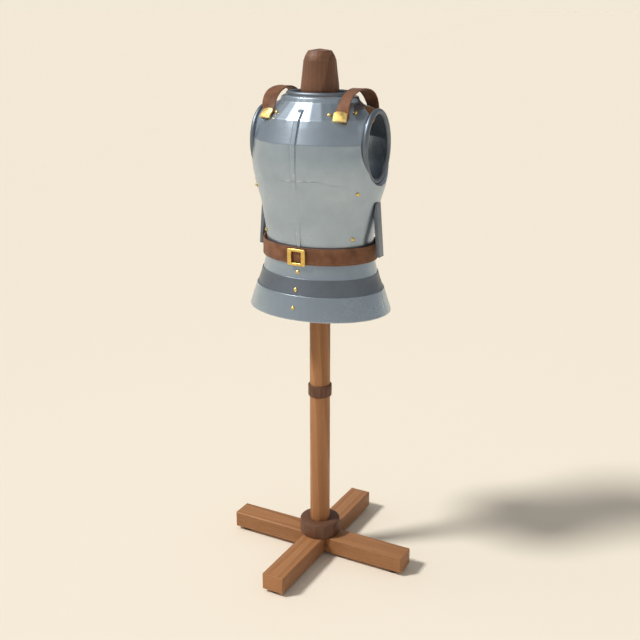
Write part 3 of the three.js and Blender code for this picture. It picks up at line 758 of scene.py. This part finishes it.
for half, facing in (("front", -1), ("back", 1)):
    roll(
        f"neck_roll_{half}",
        Vector((0, 0, NECK_ROLL["z"])) * MM,
        Vector((NECK_ROLL["half_width"], 0, 0)) * MM,
        Vector((0, facing * NECK_ROLL["half_depth"], 0)) * MM,
        NECK_ROLL["radius"],
    )
    for side, sign in SIDES:
        roll(
            f"arm_roll_{half}_{side}",
            Vector((sign * ARM_X, 0, ARM_Z)) * MM,
            Vector((0, 0, ARM_ROLL["half_height"])) * MM,
            Vector((0, facing * ARM_ROLL["half_depth"], 0)) * MM,
            ARM_ROLL["radius"],
        )


# ---- skirt bands ----


def lame(name, low, high, lift, facing, material, slot):
    """One band of the skirt; facing is 1 in front and -1 at the back."""

    def place(column, row):
        z = low + (high - low) * row / (LAME_ROWS - 1)
        half_width = section_at(SKIRT, z)
        edge = math.acos(SEAM / (half_width * DEPTH_RATIO + lift))
        angle = -edge + 2 * edge * column / (LAME_COLUMNS - 1)
        x = (half_width + lift) * math.sin(angle)
        y = -(half_width * DEPTH_RATIO + lift) * math.cos(angle)
        return Vector((facing * x, facing * y, z))

    piece = show(name + "_band", grid_skin(LAME_COLUMNS, LAME_ROWS, place), material, (name,))
    soften(thicken(piece, LAME_THICKNESS), 0.5)


for index, (low, high, lift) in enumerate(LAMES, 1):
    finish = (DARK_STEEL, "dark_steel") if index == 2 else (STEEL, "steel")
    lame(f"fauld_lame_{index}", low, high, lift, 1, *finish)
    lame(f"culet_lame_{index}", low, high, lift, -1, *finish)


# ---- straps and their stitches ----


def sew(name, spots):
    """A piece of small thread ends, one at each (place, direction, outward normal)."""
    bm = bmesh.new()
    half_sizes = (STITCH_LENGTH * MM / 2, STITCH_WIDTH * MM / 2, STITCH_WIDTH * MM / (2 * STITCH_FLATNESS), 1)
    for place, along, normal in spots:
        across = normal.cross(along).normalized()
        turn = Matrix((along, across, along.cross(across))).transposed().to_4x4()
        stitch = Matrix.Translation(place) @ turn @ Matrix.Diagonal(half_sizes)
        bmesh.ops.create_icosphere(bm, subdivisions=1, radius=1, matrix=stitch)
    show(name, bm, THREAD)


def along_edge(first, second):
    """Evenly spaced places on a straight line, a stitch apart."""
    count = max(1, round((second - first).length / (STITCH_SPACING * MM)))
    return [first.lerp(second, (i + 0.5) / count) for i in range(count)]


def outer_side(bm, sign):
    """A strap's outer faces: they don't look sideways, and they look away from inside the shoulder."""
    inside = Vector((sign * SHOULDER_X * MM, 0, SHOULDER_Z * MM))

    def is_outer(face):
        away = (face.calc_center_median() - inside).normalized()
        return abs(face.normal.x) < SIDEWAYS and face.normal.dot(away) > OUTWARDS

    return [face for face in bm.faces if is_outer(face)]


def strap_stitches(bm, sign):
    """Where a strap's stitches lie: inside both long edges of its outer side."""
    outer = outer_side(bm, sign)
    spots = []
    for edge in bm.edges:
        faces = [face for face in edge.link_faces if face in outer]
        first, second = (vert.co for vert in edge.verts)
        along = (second - first).normalized()
        if len(faces) != 1 or abs(along.x) > CROSSWISE:
            continue
        normal = faces[0].normal.copy()
        inwards = faces[0].calc_center_median() - (first + second) / 2
        inwards = (inwards - along * inwards.dot(along)).normalized()
        for place in along_edge(first, second):
            inset = inwards * STRAP_STITCH_INSET * MM
            spots.append((place + inset + normal * STITCH_LIFT * MM, along, normal))
    return spots


def shoulder_strap(side, sign):
    """A leather strap, rounded at its edges, with its stitches."""
    name = f"shoulder_strap_{side}"
    bm = merged_copy(name)
    bmesh.ops.join_triangles(
        bm, faces=bm.faces, angle_face_threshold=math.radians(25), angle_shape_threshold=math.radians(60)
    )
    spots = strap_stitches(bm, sign)
    sharp = [edge for edge in bm.edges if edge.calc_face_angle(0) > STRAP_SHARP]
    bmesh.ops.bevel(
        bm, geom=sharp, offset=STRAP_ROUNDING * MM, segments=2, profile=0.5, affect="EDGES", material=-1
    )
    piece = show(name + "_leather", bm, LEATHER, (name,))
    rounded = piece.modifiers.new("smooth", "SUBSURF")
    rounded.levels = rounded.render_levels = 2
    sew(name + "_stitches", spots)


for side, sign in SIDES:
    shoulder_strap(side, sign)
    plate = f"strap_plate_{side}"
    soften(show(plate + "_brass", flat_copy(plate), BRASS, (plate,)), 0.7, segments=3, angle=25)


# ---- belt ----


def belt_strap():
    """The belt's leather: its edges rounded, grooved inside them, and raised over the buckle's bar."""
    half = (BELT["high"] - BELT["low"]) / 2
    middle = (BELT["high"] + BELT["low"]) / 2
    thick = BELT["thickness"]
    # the upper half of its section: (outwards, up) from the middle of the outer skin
    upper = [
        (-thick, half - 1), (-thick + 1, half), (-1.2, half), (-0.35, half - 0.5), (0, half - 1.5),
        (0, half - BELT_EDGE), (-BELT_GROOVE, half - BELT_EDGE - 0.6), (0, half - BELT_EDGE - 1.2),
        (0, half - 9), (0, half - 14),
    ]
    section = upper + [(0, 0)] + [(x, -z) for x, z in reversed(upper)]
    bm = bmesh.new()
    frames = ellipse_frames(
        Vector((0, 0, middle)) * MM,
        Vector((BELT["half_width"], 0, 0)) * MM,
        Vector((0, BELT["half_depth"], 0)) * MM,
        0, 2 * math.pi * (BELT_STEPS - 1) / BELT_STEPS, BELT_STEPS - 1,
    )
    sweep(bm, [(x * MM, z * MM, 0) for x, z in section], frames, closed=True)
    skin = BELT_RISE["skin"] - BELT["half_depth"]
    for vert in bm.verts:
        x, y, z = vert.co / MM
        if abs(x) < BELT_RISE["half_width"] and y < skin:
            rise = math.cos(math.pi * x / (2 * BELT_RISE["half_width"])) ** 0.6
            rise *= max(0, 1 - ((z - BUCKLE_Z) / BELT_RISE["half_height"]) ** 4)
            vert.co.y -= BELT_RISE["height"] * rise * MM
    show("belt_leather", bm, LEATHER, ("belt",))


def belt_stitches():
    """A row of stitches along both edges of the belt, open behind the buckle."""
    spots = []
    for i in range(BELT_STITCHES):
        angle = 2 * math.pi * (i + 0.5) / BELT_STITCHES
        cosine, sine = math.cos(angle), math.sin(angle)
        outward = Vector((cosine / BELT["half_width"], sine / BELT["half_depth"], 0)).normalized()
        along = Vector((-outward.y, outward.x, 0))
        place = Vector((BELT["half_width"] * cosine, BELT["half_depth"] * sine, 0))
        if abs(place.x) < BELT_PLAIN and place.y < 0:
            continue
        for z in (BELT["low"] + BELT_STITCH_INSET, BELT["high"] - BELT_STITCH_INSET):
            spots.append(((place + outward * STITCH_LIFT + Vector((0, 0, z))) * MM, along, outward))
    sew("belt_stitches", spots)


belt_strap()
belt_stitches()
buckle = show("belt_buckle_brass", flat_copy("belt_buckle"), BRASS, ("belt_buckle",))
soften(buckle, 0.8, segments=3, angle=25)

for side, _ in SIDES:
    name = f"side_plate_{side}"
    bar = show(name + "_bar", flat_copy(name), DARK_STEEL, (name,))
    soften(bar, 0.7, segments=3, angle=25)


# ---- rivets ----


def rivet_place(node):
    """Middle and outward direction of a rivet's flat underside, from its frame node."""
    bm = bmesh.new()
    bm.from_mesh(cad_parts[node].data)
    areas = {}
    for face in bm.faces:
        key = tuple(round(c, 2) for c in face.normal)
        areas.setdefault(key, []).append(face)
    base = max(areas.values(), key=lambda faces: sum(face.calc_area() for face in faces))
    area = sum(face.calc_area() for face in base)
    middle = sum((face.calc_center_median() * face.calc_area() for face in base), Vector()) / area
    outward = -base[0].normal.copy()
    bm.free()
    return middle, outward


for node in sorted(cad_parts):
    if "_rivet_" in node:
        middle, outward = rivet_place(node)
        dome = turned(RIVET, steps=32)
        turn = Vector((0, 0, 1)).rotation_difference(outward).to_matrix().to_4x4()
        bmesh.ops.transform(dome, matrix=Matrix.Translation(middle) @ turn, verts=dome.verts)
        show(node + "_dome", dome, BRASS, (node,))


# ---- stand ----


def ring(node, chamfer):
    """A turned ring round the post, its rims cut back in two flats."""
    post_low, post_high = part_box("post")
    hole = (post_high.x - post_low.x) / 2 / MM + POST_CLEARANCE
    low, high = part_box(node)
    outer = (high.x - low.x) / 2 / MM
    bottom, top = low.z / MM, high.z / MM
    first_flat = chamfer * 0.3
    profile = (
        (bottom, hole),
        (bottom, outer - chamfer),
        (bottom + first_flat, outer - first_flat),
        (bottom + chamfer, outer),
        (top - chamfer, outer),
        (top - first_flat, outer - first_flat),
        (top, outer - chamfer),
        (top, hole),
        (bottom, hole),
    )
    soften(show(node + "_wood", turned(profile), DARK_WOOD, (node,)), 0.8)


def neck_block():
    """The block that stands in the neck, cut in flat sides."""
    block = turned(NECK_BLOCK, steps=NECK_BLOCK_SIDES)
    piece = show("neck_block_wood", block, BLOCK_WOOD, ("neck_block",), smooth=False)
    soften(piece, 0.7, angle=5)


def foot_pad(foot):
    """A round pad under the end of a leg."""
    low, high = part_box(foot)
    centre = (low + high) / 2
    bottom, top = low.z / MM, high.z / MM
    profile = (
        (bottom, 0),
        (bottom, FOOT["end_radius"]),
        (bottom + FOOT["chamfer"], FOOT["radius"]),
        (top - FOOT["chamfer"], FOOT["radius"]),
        (top, FOOT["end_radius"]),
        (top, 0),
    )
    pad = turned(profile, steps=48)
    bmesh.ops.translate(pad, verts=pad.verts, vec=(centre.x, centre.y, 0))
    show(foot + "_pad", pad, PAD, (foot,))


def shoulder_bar():
    """The round bar across the post that carries the armour."""
    low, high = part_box("shoulder_bar")
    reach, radius = high.x / MM, (high.z - low.z) / 2 / MM
    bar = turned(((-reach, 0), (-reach, radius), (reach, radius), (reach, 0)), steps=64)
    lay = Matrix.Translation((low + high) / 2) @ Matrix.Rotation(math.pi / 2, 4, "Y")
    bmesh.ops.transform(bar, matrix=lay, verts=bar.verts)
    piece = show("shoulder_bar_wood", bar, WOOD["shoulder_bar"], ("shoulder_bar",))
    soften(piece, 1.5, segments=3)


soften(show("post_wood", flat_copy("post"), WOOD["post"], ("post",)), 0.8)
ring("post_ring", RING_CHAMFER)
ring("base_collar", COLLAR_CHAMFER)
neck_block()
for leg in ("base_leg_x", "base_leg_y"):
    soften(show(leg + "_wood", flat_copy(leg), WOOD[leg], (leg,)), 1.2, segments=3, angle=25)
for foot in ("foot_front", "foot_back", "foot_left", "foot_right"):
    foot_pad(foot)
shoulder_bar()


# ---- stage, light and camera ----

# lengths from here on are in metres; directions point from the object to the light or the camera
FLOOR_COLOR = (0.898, 0.826, 0.698)
FLOOR_REACH, VIEW_REACH = 2000, 5000
KEY_DIRECTION = Vector((-0.495, -0.448, 0.743))
KEY_COLOR = (1.0, 0.98, 0.95)
KEY_STRENGTH = 2.68
KEY_SIZE = math.radians(11)
LAMP_TARGET = Vector((0, -0.1, 1.35))
LAMP_DIRECTION = Vector((-0.47, -0.15, 0.87))
LAMP_DISTANCE = 1.2
LAMP_SIZE = 0.38
LAMP_STRENGTH = 2.2
BACKDROP = (0.89, 0.81, 0.67)
SKY = (
    # height above the horizon (0 to 1), colour of the studio there
    (0.0, BACKDROP),
    (0.02, BACKDROP),
    (0.045, (0.36, 0.37, 0.38)),
    (0.3, (0.32, 0.32, 0.32)),
    (0.6, (0.49, 0.47, 0.46)),
    (0.74, (0.3, 0.3, 0.3)),
    (0.87, (0.45, 0.44, 0.43)),
    (1.0, (0.15, 0.15, 0.15)),
)
VIEW_AZIMUTH, VIEW_ELEVATION = math.radians(28.2), math.radians(18.3)
VIEW_TARGET = Vector((0, 0, 0.75))
VIEW_DISTANCE = 2.7
LENS, SENSOR_WIDTH = 52.5, 36


def stage():
    """A plain pale floor."""
    bm = bmesh.new()
    bmesh.ops.create_grid(bm, x_segments=1, y_segments=1, size=FLOOR_REACH)
    floor_finish = Finish("floor", FLOOR_COLOR, 0.0, 0.9)
    floor_finish.shader.inputs["Specular IOR Level"].default_value = 0
    mesh = bpy.data.meshes.new("floor")
    bm.to_mesh(mesh)
    bm.free()
    mesh.materials.append(floor_finish.material)
    floor = bpy.data.objects.new("floor", mesh)
    bpy.context.scene.collection.objects.link(floor)


def studio():
    """A pale backdrop for the camera, and a dimmer room for the object to mirror."""
    world = bpy.data.worlds.new("studio")
    world.use_nodes = True
    tree = world.node_tree
    background = tree.nodes["Background"]
    place = tree.nodes.new("ShaderNodeTexCoord")
    split = tree.nodes.new("ShaderNodeSeparateXYZ")
    ramp = tree.nodes.new("ShaderNodeValToRGB")
    elements = ramp.color_ramp.elements
    while len(elements) < len(SKY):
        elements.new(0.5)
    for element, (height, color) in zip(elements, SKY):
        element.position = height
        element.color = (*color, 1)
    tree.links.new(place.outputs["Generated"], split.inputs[0])
    tree.links.new(split.outputs["Z"], ramp.inputs["Fac"])
    seen = tree.nodes.new("ShaderNodeLightPath")
    backdrop = tree.nodes.new("ShaderNodeMix")
    backdrop.data_type = "RGBA"
    tree.links.new(seen.outputs["Is Camera Ray"], backdrop.inputs[0])
    tree.links.new(ramp.outputs["Color"], backdrop.inputs[6])
    backdrop.inputs[7].default_value = (*BACKDROP, 1)
    tree.links.new(backdrop.outputs[2], background.inputs["Color"])
    bpy.context.scene.world = world


def key_light():
    """The main light, from the front and the wearer's right, high up."""
    light = bpy.data.lights.new("key", "SUN")
    light.energy = KEY_STRENGTH
    light.angle = KEY_SIZE
    light.color = KEY_COLOR
    lamp = bpy.data.objects.new("key", light)
    lamp.rotation_euler = (-KEY_DIRECTION).to_track_quat("-Z", "Y").to_euler()
    bpy.context.scene.collection.objects.link(lamp)


def overhead_lamp():
    """A small round lamp high over the wearer's right shoulder, which the band under the neck mirrors."""
    light = bpy.data.lights.new("overhead", "AREA")
    light.shape = "DISK"
    light.size = LAMP_SIZE
    light.energy = LAMP_STRENGTH
    lamp = bpy.data.objects.new("overhead", light)
    lamp.location = LAMP_TARGET + LAMP_DIRECTION.normalized() * LAMP_DISTANCE
    lamp.rotation_euler = (-LAMP_DIRECTION).to_track_quat("-Z", "Y").to_euler()
    bpy.context.scene.collection.objects.link(lamp)


def camera():
    """The view from the front and the wearer's left, a little from above."""
    data = bpy.data.cameras.new("camera")
    data.lens = LENS
    data.sensor_width = SENSOR_WIDTH
    data.clip_end = VIEW_REACH
    seat = bpy.data.objects.new("camera", data)
    back = Vector((
        math.sin(VIEW_AZIMUTH) * math.cos(VIEW_ELEVATION),
        -math.cos(VIEW_AZIMUTH) * math.cos(VIEW_ELEVATION),
        math.sin(VIEW_ELEVATION),
    ))
    seat.location = VIEW_TARGET + back * VIEW_DISTANCE
    seat.rotation_euler = (-back).to_track_quat("-Z", "Y").to_euler()
    bpy.context.scene.collection.objects.link(seat)
    bpy.context.scene.camera = seat


stage()
studio()
key_light()
overhead_lamp()
camera()
bpy.context.scene.view_settings.view_transform = "Standard"
